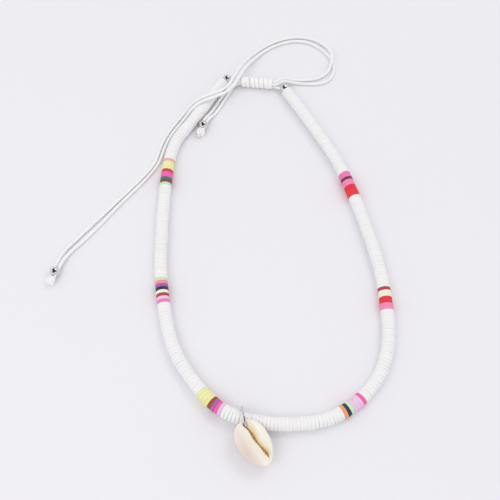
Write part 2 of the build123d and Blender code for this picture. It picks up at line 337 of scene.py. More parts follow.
def new_material(name):
    material = bpy.data.materials.new(name)
    material.use_nodes = True
    tree = material.node_tree
    tree.nodes.clear()
    shader = tree.nodes.new("ShaderNodeBsdfPrincipled")
    put(tree, "ShaderNodeOutputMaterial", {0: shader.outputs[0]})
    return material, tree, shader


def clay_disc(name, colour, amount=0.10, shine=0.42):
    """Smooth satin clay, a shade of its own on each disc, with paler rubbed faces and edges."""
    material, tree, shader = new_material(name)
    skin = use(tree, mottle, {"Color": (*colour, 1), "Cloud Scale": 420.0, "Speck Scale": 2600.0,
                              "Amount": amount, "Tone": attribute(tree, "disc_tone")})
    rubbed = tuple(c + (1 - c) * 0.12 for c in colour)
    edge = ranged(tree, attribute(tree, "disc_rim"), 0.55, 1.0, 0.0, 0.5)
    worn = times(tree, edge, skin["Clouds"])
    feed(tree, shader, {
        "Base Color": blend(tree, worn, skin["Color"], (*rubbed, 1)),
        "Roughness": ranged(tree, skin["Height"], low=shine - 0.08, high=shine + 0.14),
        "Normal": bump(tree, skin["Height"], 0.00003, 0.35), "Specular IOR Level": 0.12,
        "Subsurface Weight": 0.12, "Subsurface Radius": (0.0012, 0.001, 0.0009), "Subsurface Scale": 0.5,
    })
    return material


disc_colours = {
    "dusty_pink": (0.84, 0.42, 0.43), "yellow": (0.87, 0.85, 0.40), "crimson": (0.60, 0.04, 0.09),
    "hot_pink": (0.90, 0.12, 0.40), "teal": (0.04, 0.17, 0.20), "brown": (0.22, 0.07, 0.04),
    "mint": (0.62, 0.80, 0.54), "green": (0.68, 0.79, 0.42), "pink": (0.92, 0.25, 0.47),
    "purple": (0.42, 0.12, 0.38), "navy": (0.022, 0.03, 0.07), "cream": (0.92, 0.85, 0.68),
    "maroon": (0.45, 0.04, 0.08), "lilac": (0.84, 0.57, 0.77), "rose": (0.87, 0.20, 0.47),
    "rust": (0.32, 0.07, 0.03), "orange": (0.88, 0.35, 0.13), "red": (0.80, 0.022, 0.042),
    "dark_purple": (0.19, 0.012, 0.07),
}
disc_clay = {name: clay_disc("clay_" + name, colour) for name, colour in disc_colours.items()}
white_clay = clay_disc("clay_white", (0.90, 0.886, 0.884), amount=0.05, shine=0.36)


def waxed_cord(name, colour, furrow_shade, distance):
    """White waxed yarn: fine fibres along the twist, a soft sheen, painted shade in the furrows."""
    material, tree, shader = new_material(name)
    yarn = use(tree, fibres, {"Color": (*colour, 1), "Furrow Shade Color": (*furrow_shade, 1), "Fibre Scale": 7.0,
                              "Amount": 0.16})
    feed(tree, shader, {"Base Color": yarn["Color"], "Roughness": yarn["Roughness"],
                        "Normal": bump(tree, yarn["Height"], distance, 0.5), "Sheen Weight": 0.25,
                        "Sheen Roughness": 0.4})
    return material


# The furrow colours are painted shade: faint along the cords, darker in the knots
cord_yarn = waxed_cord("waxed_cord", (0.95, 0.945, 0.95), (0.86, 0.85, 0.86), 0.00002)
knot_yarn = waxed_cord("waxed_knot", (0.94, 0.93, 0.93), (0.72, 0.69, 0.67), 0.00004)


def thread_fibre():
    material, tree, shader = new_material("thread_fibre")
    skin = use(tree, mottle, {"Color": (0.85, 0.84, 0.82, 1), "Cloud Scale": 900.0, "Speck Scale": 5200.0,
                              "Amount": 0.2})
    feed(tree, shader, {"Base Color": skin["Color"], "Normal": bump(tree, skin["Height"], 0.00004, 0.5),
                        "Roughness": 0.75})
    return material


def silver(name, colour, low, high):
    """Polished plated metal with hair scratches and faint finger marks."""
    material, tree, shader = new_material(name)
    marks = use(tree, handling, {"Scratch Scale": 420.0, "Low": low, "High": high})
    dulled = tuple(c * 0.86 for c in colour)
    feed(tree, shader, {"Base Color": blend(tree, marks["Mask"], (*colour, 1), (*dulled, 1)),
                        "Normal": bump(tree, marks["Height"], 0.000004, 0.3), "Roughness": marks["Roughness"],
                        "Metallic": 1.0})
    return material


bead_silver = silver("bead_silver", (0.80, 0.80, 0.81), 0.06, 0.2)
ring_silver = silver("ring_silver", (0.78, 0.78, 0.79), 0.08, 0.26)


def shell_glaze():
    """Glossy cowrie: cream with pale streaks, beige-pink painted shade down its left side and underside,
    golden inside the slit and between the teeth.
    """
    material, tree, shader = new_material("shell_glaze")
    along = attribute(tree, "shell_place", "Vector")
    bands = get(tree, "ShaderNodeMapping", {"Vector": along, "Scale": (0.9, 0.12, 0.12)})
    streaks = noise(tree, bands, 1.0, 5.0, 0.6, 0.4)
    cream = blend(tree, noise(tree, along, 0.35, 3.0, 0.5), (0.93, 0.895, 0.80, 1), (0.90, 0.84, 0.71, 1))
    streaked = blend(tree, ranged(tree, streaks, 0.48, 0.72, 0.0, 0.5), cream, (0.95, 0.90, 0.83, 1))
    # Painted shade: beige-pink on the shell's left side and towards its underside, where it turns down to the
    # floor
    beige = blend(tree, attribute(tree, "flank_shade"), streaked, (0.77, 0.645, 0.575, 1))
    rills = blend(tree, attribute(tree, "tooth_gap"), beige, (0.84, 0.66, 0.42, 1))
    feed(tree, shader, {
        "Base Color": blend(tree, attribute(tree, "inner"), rills, (0.84, 0.62, 0.31, 1)),
        "Roughness": ranged(tree, noise(tree, along, 6.0, 4.0, 0.6), low=0.16, high=0.34),
        "Normal": bump(tree, streaks, 0.00005, 0.25), "Coat Weight": 0.35, "Coat Roughness": 0.08,
        "Subsurface Weight": 0.1, "Subsurface Radius": (0.002, 0.0014, 0.0009), "Subsurface Scale": 0.4,
    })
    return material


glaze = shell_glaze()


# Finishing a piece
def settle(piece, slot, *nodes):
    """Rides on the necklace's body and stands for its CAD nodes, whose parts it hides. Its slot is not used.
    """
    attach(piece, body)
    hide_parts(*nodes)
    return piece


def piece_from(mesh, name, material):
    """A new object for a bmesh, with its material."""
    data = bpy.data.meshes.new(name)
    mesh.to_mesh(data)
    mesh.free()
    data.materials.append(material)
    return new_object(name, data)


def smooth(piece, sharp_from=180):
    """Smooth shading, apart from edges that turn by more than an angle in degrees."""
    piece.data.shade_smooth()
    if sharp_from < 180:
        piece.data.set_sharp_from_angle(angle=math.radians(sharp_from))


# The string of discs
def store(tree, geometry, name, value, data_type="FLOAT", domain="POINT"):
    """Geometry that carries a value under a name."""
    return get(tree, "GeometryNodeStoreNamedAttribute", {"Geometry": geometry, "Name": name, "Value": value},
               data_type=data_type, domain=domain)


def vector_calc(tree, operation, inputs):
    return get(tree, "ShaderNodeVectorMath", inputs, operation=operation)


def whole(tree, value):
    return get(tree, "FunctionNodeFloatToInt", {0: value}, rounding_mode="ROUND")


def finished(tree, result, geometry, material):
    """Ends a geometry tree: real meshes with their material."""
    real = get(tree, "GeometryNodeRealizeInstances", {0: geometry})
    feed(tree, result, {0: get(tree, "GeometryNodeSetMaterial", {"Geometry": real, "Material": material})})


def tree_discs():
    """Discs strung on a curve: each a little different in size, place and lean."""
    tree, g, result = new_tree(
        "strung_discs", "GeometryNodeTree",
        {"Geometry": "Geometry", "Disc Diameter": 0.004, "Disc Thickness": 0.00103, "Edge Round": 0.00003,
         "Margin": 0.0018, "Step": 0.00104, "First": 0, "Count": 1, "Size Spread": 0.02, "Shift": 0.00002,
         "Lean": 0.004, "Seed": 11, "Material": "Material"},
        {"Geometry": "Geometry"},
    )
    # A disc's chance values follow its number on the string, whichever piece it belongs to
    number = calc(tree, "ADD", get(tree, "GeometryNodeInputIndex"), g["First"])
    whole_number = whole(tree, number)
    along = calc(tree, "ADD", g["Margin"], times(tree, number, g["Step"]))
    dots = get(tree, "GeometryNodePoints", {"Count": g["Count"]})
    here = put(tree, "GeometryNodeSampleCurve", {"Curves": g["Geometry"], "Length": along}, mode="LENGTH",
               use_all_curves=True).outputs

    def chance(data_type, low, high, add):
        node = put(tree, "FunctionNodeRandomValue", data_type=data_type)
        lowest, highest = [k for k, socket in enumerate(node.inputs) if socket.enabled][:2]
        seed = whole(tree, calc(tree, "ADD", g["Seed"], float(add)))
        feed(tree, node, {lowest: low, highest: high, "ID": whole_number, "Seed": seed})
        return next(socket for socket in node.outputs if socket.enabled)

    shift = vector_calc(tree, "SCALE", {0: chance("FLOAT_VECTOR", (-1, -1, -1), (1, 1, 1), 1),
                                        "Scale": g["Shift"]})
    place = vector_calc(tree, "ADD", {0: here["Position"], 1: shift})
    moved = get(tree, "GeometryNodeSetPosition", {"Geometry": dots, "Position": place})
    turned = get(tree, "FunctionNodeAlignRotationToVector", {"Vector": here["Tangent"]}, axis="Z")
    lean = vector_calc(tree, "SCALE", {0: chance("FLOAT_VECTOR", (-1, -1, 0), (1, 1, 0), 2),
                                       "Scale": g["Lean"]})
    spin = get(tree, "ShaderNodeCombineXYZ", {"Z": chance("FLOAT", 0.0, 6.283, 3)})
    twist = vector_calc(tree, "ADD", {0: lean, 1: spin})
    own = get(tree, "FunctionNodeEulerToRotation", {0: twist})
    both = get(tree, "FunctionNodeRotateRotation", {0: turned, 1: own}, rotation_space="LOCAL")

    # A cylinder with two rings of points between its faces, which become the rims of its rounded edges
    radius = times(tree, g["Disc Diameter"], 0.5)
    half = times(tree, g["Disc Thickness"], 0.5)
    cylinder = put(tree, "GeometryNodeMeshCylinder",
                   {"Vertices": 28, "Side Segments": 3, "Radius": radius, "Depth": g["Disc Thickness"]},
                   fill_type="NGON").outputs
    x, y, z = put(tree, "ShaderNodeSeparateXYZ", {0: get(tree, "GeometryNodeInputPosition")}).outputs
    is_face = calc(tree, "GREATER_THAN", calc(tree, "ABSOLUTE", z), times(tree, half, 0.5))

    def on_rim_or_face(rim, face):
        return get(tree, "ShaderNodeMix", {0: is_face, 2: rim, 3: face}, data_type="FLOAT")

    drawn_in = calc(tree, "SUBTRACT", 1.0, calc(tree, "DIVIDE", g["Edge Round"], radius))
    width = on_rim_or_face(1.0, drawn_in)
    rim_height = times(tree, calc(tree, "SIGN", z), calc(tree, "SUBTRACT", half, g["Edge Round"]))
    shaped = get(tree, "ShaderNodeCombineXYZ",
                 {0: times(tree, x, width), 1: times(tree, y, width), 2: on_rim_or_face(rim_height, z)})
    rounded = get(tree, "GeometryNodeSetPosition", {"Geometry": cylinder["Mesh"], "Position": shaped})
    marked = store(tree, rounded, "disc_rim", is_face)
    soft = get(tree, "GeometryNodeSetShadeSmooth", {0: marked, "Selection": cylinder["Side"]})
    size = chance("FLOAT", calc(tree, "SUBTRACT", 1.0, g["Size Spread"]), 1.0, 4)
    scale = get(tree, "ShaderNodeCombineXYZ", {0: size, 1: size, 2: 1.0})
    strung = get(tree, "GeometryNodeInstanceOnPoints",
                 {"Points": moved, "Instance": soft, "Rotation": both, "Scale": scale})
    toned = store(tree, strung, "disc_tone", chance("FLOAT", 0.0, 1.0, 5), domain="INSTANCE")
    finished(tree, result, toned, g["Material"])
    return tree


disc_tree = tree_discs()
left_way = (mm(*string_route[0]) - end_bead_left_at).normalized()
right_way = (mm(*string_route[-1]) - end_bead_right_at).normalized()
string_places = [end_bead_left_at + left_way * socket_bottom, *[mm(*p) for p in string_route],
                 end_bead_right_at + right_way * socket_bottom]
string_line = spline("string_line", string_places)
string_dots = points_along(string_line)
string_length = sum((b - a).length for a, b in zip(string_dots, string_dots[1:]))
bead_to_first_disc = 0.63 * MM
disc_margin = bead_radius - socket_bottom + bead_to_first_disc
disc_step = (string_length - 2 * disc_margin) / (disc_count - 1)


def string_discs(node, runs, material, slot):
    """One piece for the discs of a CAD node, given as runs of first disc and count."""
    made = [
        grow(string_line, node + "_look", disc_tree,
             {"Disc Diameter": disc_diameter, "Disc Thickness": disc_thickness, "Edge Round": 0.03 * MM,
              "Margin": disc_margin, "Step": disc_step, "First": first, "Count": count, "Size Spread": 0.02,
              "Shift": 0.02 * MM, "Lean": 0.004, "Seed": 11, "Material": material})
        for first, count in runs
    ]
    piece = made[0]
    if len(made) > 1:
        joined = bmesh.new()
        for part in made:
            joined.from_mesh(part.data)
        for part in made[1:]:
            discard(part)
        joined.to_mesh(piece.data)
        joined.free()
    return settle(piece, slot, node)


# Middles of the colour groups and the ring's place, as shares of the string. The ring hangs in the fourth run
# of white discs and parts left from right
group_middles = [0.151, 0.300, 0.432, 0.5785, 0.705, 0.8475]
ring_share = 0.468
group_runs = [
    [("dusty_pink", 1), ("yellow", 3), ("crimson", 1), ("hot_pink", 2), ("teal", 1), ("brown", 1),
     ("mint", 1)],
    [("green", 1), ("pink", 1), ("purple", 1), ("navy", 1), ("cream", 1), ("maroon", 1), ("lilac", 1),
     ("rose", 1)],
    [("yellow", 4), ("rust", 1), ("purple", 1), ("hot_pink", 1), ("lilac", 1)],
    [("orange", 1), ("navy", 1), ("mint", 1), ("lilac", 3), ("hot_pink", 1)],
    [("pink", 2), ("red", 2), ("cream", 2), ("maroon", 1)],
    [("red", 4), ("pink", 2), ("dark_purple", 1), ("rose", 2)],
]
white_from = 0
white_runs = []
for number, (middle, runs) in enumerate(zip(group_middles, group_runs), start=1):
    first = round(middle * disc_count - sum(count for _, count in runs) / 2)
    white_runs.append((white_from, first - white_from))
    for colour, count in runs:
        string_discs(f"group{number}_{colour}", [(first, count)], disc_clay[colour], "disc_" + colour)
        first += count
    white_from = first
white_runs.append((white_from, disc_count - white_from))
ring_disc = round(ring_share * disc_count)
ring_run, ring_run_count = white_runs[3]
before_ring = white_runs[:3] + [(ring_run, ring_disc - ring_run)]
after_ring = [(ring_disc, ring_run_count + ring_run - ring_disc)] + white_runs[4:]
string_discs("white_discs_left", before_ring, white_clay, "white_discs")
string_discs("white_discs_right", after_ring, white_clay, "white_discs")
discard(string_line)

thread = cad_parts["bead_thread"]
thread.data.materials.clear()
thread.data.materials.append(thread_fibre())

# How fast the yarn's fibres pass along a cord, per metre
yarn_scale = 300.0


# The cords
def tree_cord():
    """Plies twisted into a round cord along a curve."""
    tree, g, result = new_tree(
        "twisted_cord", "GeometryNodeTree",
        {"Geometry": "Geometry", "Cord Diameter": 0.0011, "Plies": 3.0, "Furrow Depth": 0.000035,
         "Twist Pitch": 0.0034, "Step": 0.0002, "Material": "Material"},
        {"Geometry": "Geometry"},
    )

    def off_crown(turn):
        """How far a turn round the cord is from the crown of its ply: 0 on it and 1 deepest between two
        plies.
        """
        half_turns = times(tree, turn, times(tree, g["Plies"], 0.5))
        return calc(tree, "SUBTRACT", 1.0, calc(tree, "ABSOLUTE", calc(tree, "COSINE", half_turns)))

    def carried(name):
        return get(tree, "GeometryNodeInputNamedAttribute", {"Name": name}, data_type="FLOAT")

    even = get(tree, "GeometryNodeResampleCurve", {"Curve": g["Geometry"], "Length": g["Step"]},
               mode="LENGTH")
    length = put(tree, "GeometryNodeSplineParameter").outputs["Length"]
    stored = store(tree, even, "cord_along", length)
    tilt = times(tree, calc(tree, "DIVIDE", length, g["Twist Pitch"]), math.tau)
    wound = get(tree, "GeometryNodeSetCurveTilt", {"Curve": stored, "Tilt": tilt})
    sides = 18
    circle = get(tree, "GeometryNodeCurvePrimitiveCircle", {"Resolution": sides, "Radius": 1.0},
                 mode="RADIUS")
    turn = times(tree, get(tree, "GeometryNodeInputIndex"), math.tau / sides)
    sunk = times(tree, off_crown(turn), g["Furrow Depth"])
    reach = calc(tree, "SUBTRACT", times(tree, g["Cord Diameter"], 0.5), sunk)
    outline = get(tree, "ShaderNodeCombineXYZ", {0: times(tree, calc(tree, "COSINE", turn), reach),
                                                 1: times(tree, calc(tree, "SINE", turn), reach)})
    lobed = get(tree, "GeometryNodeSetPosition", {"Geometry": circle, "Position": outline})
    shape = store(tree, lobed, "cord_turn", turn)
    tube = get(tree, "GeometryNodeCurveToMesh",
               {"Curve": wound, "Profile Curve": shape, "Fill Caps": True})
    mesh_turn = carried("cord_turn")
    yarn = get(tree, "ShaderNodeCombineXYZ",
               {0: calc(tree, "COSINE", mesh_turn), 1: calc(tree, "SINE", mesh_turn),
                2: times(tree, carried("cord_along"), yarn_scale)})
    # A mask for painted shade, strongest deep in the furrows between plies
    first = store(tree, tube, "furrow_shade", calc(tree, "POWER", off_crown(mesh_turn), 3.0))
    second = store(tree, first, "yarn", yarn, data_type="FLOAT_VECTOR")
    soft = get(tree, "GeometryNodeSetShadeSmooth", {0: second})
    finished(tree, result, soft, g["Material"])
    return tree


cord_tree = tree_cord()
long_height = UP * cord_offset
short_height = -UP * cord_offset


def tail_end(bead, way, side):
    """The last points of a cord: before its tail bead, and inside its stopper knot."""
    before_bead, in_knot = 1.0 * MM, 0.5 * MM
    shift = UP.cross(way) * (-cord_offset * side)
    return [bead - way * (bead_radius + before_bead) + shift, bead + way * (tail_knot_face + in_knot) + shift]


# Straight runs of the cords: outside the knot's stop (lead) and start (past) in millimetres, then inside it
short_a_lead = 1.32
long_run_in, short_run_in, short_run_out = 2.8 * MM, 3.2 * MM, 3.6 * MM
cord_ways = {}
for name, side, lead, route in (
    ("long_cord_a", 1, 1.05, long_a_route), ("long_cord_b", -1, 1.45, long_b_route),
):
    shift = knot_side * (cord_offset * side)
    leave = knot_stop + knot_direction * (lead * MM) + long_height + shift
    cord_ways[name] = [
        end_bead_left_at + knot_direction * socket_bottom + shift,
        leave - knot_direction * long_run_in, leave,
        *[mm(*p) for p in route], *tail_end(tail_bead_long_at, tail_long_way, side),
    ]
short_pair_at = knot_stop + knot_direction * (short_a_lead * MM) + short_height
right_bead_way = (short_pair_at - end_bead_right_at).normalized()
right_bead_side = UP.cross(right_bead_way).normalized()
for name, side, lead, past, route in (
    ("short_cord_a", 1, short_a_lead, 2.55, short_a_route), ("short_cord_b", -1, 1.08, 2.0, short_b_route),
):
    shift = knot_side * (cord_offset * side) + short_height
    enter = knot_stop + knot_direction * (lead * MM) + shift
    leave = knot_start - knot_direction * (past * MM) + shift
    cord_ways[name] = [
        end_bead_right_at + right_bead_way * socket_bottom - right_bead_side * (cord_offset * side),
        enter, enter - knot_direction * short_run_in, leave + knot_direction * short_run_out, leave,
        *[mm(*p) for p in route], *tail_end(tail_bead_short_at, tail_short_way, side),
    ]
cord_pieces, cord_paths = {}, {}
for name, places in cord_ways.items():
    line = spline(name + "_line", places)
    cord_paths[name] = points_along(line)
    cord = grow(line, name + "_look", cord_tree,
                {"Cord Diameter": cord_diameter, "Plies": 3.0, "Furrow Depth": 0.035 * MM,
                 "Twist Pitch": 3.4 * MM, "Step": 0.2 * MM, "Material": cord_yarn})
    discard(line)
    cord_pieces[name] = settle(cord, "cord", name)


# Knots
def yarn_mesh():
    """An empty mesh, with its layers for the yarn's fibres and for the painted shade in its furrows."""
    mesh = bmesh.new()
    yarn = mesh.verts.layers.float_vector.new("yarn")
    furrow_shade = mesh.verts.layers.float.new("furrow_shade")
    return mesh, yarn, furrow_shade


def bridge(mesh, rings, closed=False):
    """Joins each ring of points to the next with faces. An open row gets a face at each end."""
    count = len(rings[0])
    following = rings[1:] + rings[:1] if closed else rings[1:]
    for first, second in zip(rings, following):
        for k in range(count):
            mesh.faces.new((first[k], first[(k + 1) % count], second[(k + 1) % count], second[k]))
    if not closed:
        mesh.faces.new(rings[0])
        mesh.faces.new(list(reversed(rings[-1])))
    bmesh.ops.recalc_face_normals(mesh, faces=mesh.faces)


def sliding_knot():
    """Seven wraps of cord round the four cords, its two ends tucked under the outer wraps."""
    wraps, last_wrap = 7, 0.55
    per_turn, sides = 56, 14
    pitch = knot_length / wraps
    thick, wide = 0.40 * MM, 0.5 * pitch
    start_angle = math.radians(40)
    tuck_turns, tucked_share = 0.16, 0.62
    level_turns = 0.27
    count = int((wraps - 1 + last_wrap) * per_turn)
    mesh, yarn, furrow_shade = yarn_mesh()
    rings = []
    run = 0.0
    centre_before = None
    for i in range(count + 1):
        turns = i / per_turn
        angle = start_angle + math.tau * turns
        tuck = min(1.0, i / (tuck_turns * per_turn), (count - i) / (tuck_turns * per_turn))
        wobble = 0.03 * MM * math.sin(5.3 * turns) + 0.02 * MM * math.sin(13.1 * turns)
        rise = tucked_share + (1 - tucked_share) * math.sin(tuck * math.pi / 2)
        radius = (knot_radius - thick) * rise + wobble
        place = min(max(turns - level_turns, 0.0), wraps - 1.0) * pitch + 0.5 * pitch
        sway = 0.04 * MM * math.sin(3.7 * turns)
        out = knot_side * math.cos(angle) + UP * math.sin(angle)
        centre = knot_start + knot_direction * (place + sway) + out * radius
        run += (centre - centre_before).length if i else 0.0
        centre_before = centre
        ring = []
        for a in angles(sides):
            vert = mesh.verts.new(centre + out * (thick * math.cos(a))
                                  + knot_direction * (wide * math.sin(a)))
            vert[yarn] = (math.cos(a), math.sin(a), run * yarn_scale)
            # Painted shade along both edges of the wrap, where it meets the next wrap
            vert[furrow_shade] = max(0.0, abs(math.sin(a)) - 0.75) * 2.5
            ring.append(vert)
        rings.append(ring)
    bridge(mesh, rings)
    piece = piece_from(mesh, "sliding_knot_look", knot_yarn)
    smooth(piece)
    return settle(piece, "knot", "sliding_knot")


def stopper_knot(name, bead, way, diameter):
    """A tight overhand knot that fills the barrel under a tail bead."""
    cord_radius = 0.54 * MM
    length = 3.0 * MM
    plies, twists, ply_depth = 3, 4, 0.06
    steps, sides = 120, 14
    across = way.cross(UP).normalized()
    reach = (diameter / 2 - cord_radius) / 3
    middle = bead + way * (tail_knot_face + length / 2)
    mesh, yarn, furrow_shade = yarn_mesh()

    def centre(t):
        """The cord's line: a trefoil, seen along the tail."""
        return (middle + across * (reach * (math.sin(t) + 2 * math.sin(2 * t)))
                + UP * (reach * (math.cos(t) - 2 * math.cos(2 * t)))
                + way * ((length / 2 - cord_radius) * -math.sin(3 * t)))

    rings = []
    for t in angles(steps):
        tangent = (centre(t + 0.01) - centre(t - 0.01)).normalized()
        out = (centre(t) - middle).normalized()
        out = (out - tangent * out.dot(tangent)).normalized()
        side = tangent.cross(out)
        ring = []
        for a in angles(sides):
            twist = a + twists * t
            sunk = 1 - abs(math.cos(plies / 2 * twist))
            outward = (out * math.cos(a) + side * math.sin(a)) * cord_radius
            vert = mesh.verts.new(centre(t) + outward * (1 - ply_depth * sunk))
            vert[yarn] = (math.cos(twist), math.sin(twist), 6 * t)
            # Painted shade in the grooves between the plies
            vert[furrow_shade] = sunk ** 3
            ring.append(vert)
        rings.append(ring)
    bridge(mesh, rings, closed=True)
    piece = piece_from(mesh, name + "_look", knot_yarn)
    smooth(piece)
    return settle(piece, "knot", name)


sliding = sliding_knot()
stopper_long = stopper_knot("stopper_knot_long", tail_bead_long_at, tail_long_way, 2.9 * MM)
stopper_short = stopper_knot("stopper_knot_short", tail_bead_short_at, tail_short_way, 3.2 * MM)


# Round metal beads
def slot_cutter(centre, way, start, length, half_width, half_height):
    """An oblong bar for a pair of cords, from start along way."""
    mesh = bmesh.new()
    side = UP.cross(way).normalized()
    high = way.cross(side).normalized()
    flat = half_width - half_height
    arc_steps = 32
    outline = []
    for middle, quarter in ((flat, -0.5), (-flat, 0.5)):
        for k in range(arc_steps + 1):
            a = math.pi * (k / arc_steps + quarter)
            outline.append((middle + half_height * math.cos(a), half_height * math.sin(a)))
    bridge(mesh, [[mesh.verts.new(centre + way * x + side * y + high * z) for y, z in outline]
                  for x in (start, start + length)])
    return mesh


def carve(piece, cutters):
    """Cuts solids out of a piece."""
    for cutter in cutters:
        bmesh.ops.remove_doubles(cutter, verts=cutter.verts, dist=1e-7)
        bmesh.ops.recalc_face_normals(cutter, faces=cutter.faces)
        tool = piece_from(cutter, "cutter", piece.data.materials[0])
        cut = piece.modifiers.new("cut", "BOOLEAN")
        cut.operation = "DIFFERENCE"
        cut.solver = "EXACT"
        cut.object = tool
        mesh = evaluated_mesh(piece)
        piece.modifiers.remove(cut)
        old = piece.data
        piece.data = mesh
        mesh.name = old.name
        bpy.data.meshes.remove(old)
        discard(tool)


def metal_bead(name, centre, cords_way, thread_way=None):
    """A polished ball with an oblong hole for two cords. In an end bead the hole is a socket with a bottom,
    and a round socket for the thread comes from another side."""
    cord_room = 0.04 * MM
    thread_socket_radius = 0.49 * MM
    past_bead = 3 * MM
    ball = bmesh.new()
    turn = cords_way.to_track_quat("Z", "Y").to_matrix().to_4x4()
    bmesh.ops.create_uvsphere(ball, u_segments=64, v_segments=33, radius=bead_radius,
                              matrix=Matrix.Translation(centre) @ turn)
    piece = piece_from(ball, name + "_look", bead_silver)
    half_height = cord_diameter / 2 + cord_room
    start = socket_bottom if thread_way else -past_bead
    cutters = [slot_cutter(centre, cords_way, start, past_bead - start,
                           cord_offset + cord_diameter / 2 + cord_room, half_height)]
    if thread_way:
        cutters.append(slot_cutter(centre, thread_way, socket_bottom, past_bead,
                                   thread_socket_radius + 0.0001 * MM, thread_socket_radius))
    carve(piece, cutters)
    smooth(piece, sharp_from=35)
    return settle(piece, "bead_metal", name)


metal_bead("end_bead_left", end_bead_left_at, knot_direction, left_way)
metal_bead("end_bead_right", end_bead_right_at, right_bead_way, right_way)
tail_long = metal_bead("tail_bead_long", tail_bead_long_at, tail_long_way)
tail_short = metal_bead("tail_bead_short", tail_bead_short_at, tail_short_way)

# The jump ring: round wire bent to a ring, its two cut ends meeting in a hairline seam
ring_centre = mm(-8.224, -55.861, 3.811)
ring_way = heading(-80)
ring_across = UP.cross(ring_way)
ring_radius = 3.45 * MM
wire_radius = 0.35 * MM
ring_steps, wire_sides = 110, 18
seam, seam_gap = math.radians(62), math.radians(1.8)
seam_step = 0.05 * MM
cut_end_share = 0.93


def ring_section(mesh, angle, radius, sides, shift=0.0):
    """A circle of points round the ring's line, at an angle round the ring."""
    out = ring_way * math.cos(angle) + UP * math.sin(angle)
    middle = ring_centre + ring_across * shift
    return [mesh.verts.new(middle + out * (ring_radius + radius * math.cos(b))
                           + ring_across * (radius * math.sin(b))) for b in angles(sides)]


ring_mesh = bmesh.new()
ring_rings = []
for i in range(ring_steps + 1):
    angle = seam + seam_gap / 2 + (math.tau - seam_gap) * i / ring_steps
    trim = cut_end_share if i in (0, ring_steps) else 1.0
    ring_rings.append(ring_section(ring_mesh, angle, wire_radius * trim, wire_sides,
                                   seam_step * (i / ring_steps - 0.5)))
bridge(ring_mesh, ring_rings)
jump_ring = piece_from(ring_mesh, "jump_ring_look", ring_silver)
smooth(jump_ring, sharp_from=40)
settle(jump_ring, "ring_metal", "jump_ring")

# The cowrie shell, in millimetres: x along it from its ring end, y across it, z up from its widest level.
# Each row of its sections: share of the length, then width, rise and depth there as shares of the largest
shell_length, shell_width, shell_rise, shell_depth = 13.6, 9.0, 1.6, 5.2
shell_sections = [
    (0.00, 0.30, 0.26, 0.08), (0.07, 0.60, 0.54, 0.14), (0.18, 0.87, 0.82, 0.26), (0.34, 1.00, 0.97, 0.68),
    (0.52, 1.00, 1.00, 1.00), (0.70, 0.87, 0.95, 0.95), (0.86, 0.60, 0.75, 0.62), (0.96, 0.32, 0.45, 0.27),
    (1.00, 0.16, 0.24, 0.12),
]
shell_end_at = mm(-9.034, -57.029, 6.024)
shell_heading, shell_slope = -57.0, -5.0
ring_channel_radius = 0.5 * MM
blunt_from, blunt_to, blunt_step = 0.024, 0.976, 0.004
body_steps, lip_steps, back_steps = 150, 30, 44
tooth_pitch, tooth_height, tooth_push = 0.80, 0.11, 0.08
# The slit: its line's bow, sway and bend across the shell, its least half width and what it opens by
slit_bow, slit_sway, slit_bend = 0.25, 0.3, 1.75
slit_least, slit_more, slit_wave = 0.05, 0.20, 0.24
groove_limit, groove_share = 0.95, 0.45
gold_least, gold_more = 1.1, 0.9
# By side of the slit: how deep a lip rolls in at most, and as a share of the height, and how far it reaches
lip_roll_limit, lip_roll_share, lip_reach = {1: 0.95, -1: 0.28}, {1: 0.5, -1: 0.2}, {1: 1.9, -1: 0.8}
# The slit's wall from the lip down: away from the lip's edge, down as a share of the groove, how golden
slit_wall = ((-0.03, 0.16, 0.35), (0.02, 0.34, 0.6), (0.10, 0.52, 0.8), (0.20, 0.70, 0.95), (0.26, 0.86, 1.0))


def shell_share(place, column):
    """A section's share at a place along the shell, on a smooth curve through the table."""
    xs = [row[0] for row in shell_sections]
    ys = [row[column] for row in shell_sections]
    rises = [(ys[k + 1] - ys[k]) / (xs[k + 1] - xs[k]) for k in range(len(xs) - 1)]
    i = min(max(sum(x <= place for x in xs) - 1, 0), len(xs) - 2)

    def slope(k):
        if k == 0:
            return 0.0 if column == 3 else rises[0]
        if k == len(rises):
            return rises[-1]
        before, after = rises[k - 1], rises[k]
        return 0.0 if before * after <= 0 else 2 * before * after / (before + after)

    h = xs[i + 1] - xs[i]
    t = (place - xs[i]) / h
    return (ys[i] * (2 * t**3 - 3 * t**2 + 1) + slope(i) * h * (t**3 - 2 * t**2 + t)
            + ys[i + 1] * (3 * t**2 - 2 * t**3) + slope(i + 1) * h * (t**3 - t**2))


def fade(value, low, high):
    """0 up to low, 1 from high and a smooth rise between them."""
    t = min(max((value - low) / (high - low), 0.0), 1.0)
    return t * t * (3 - 2 * t)


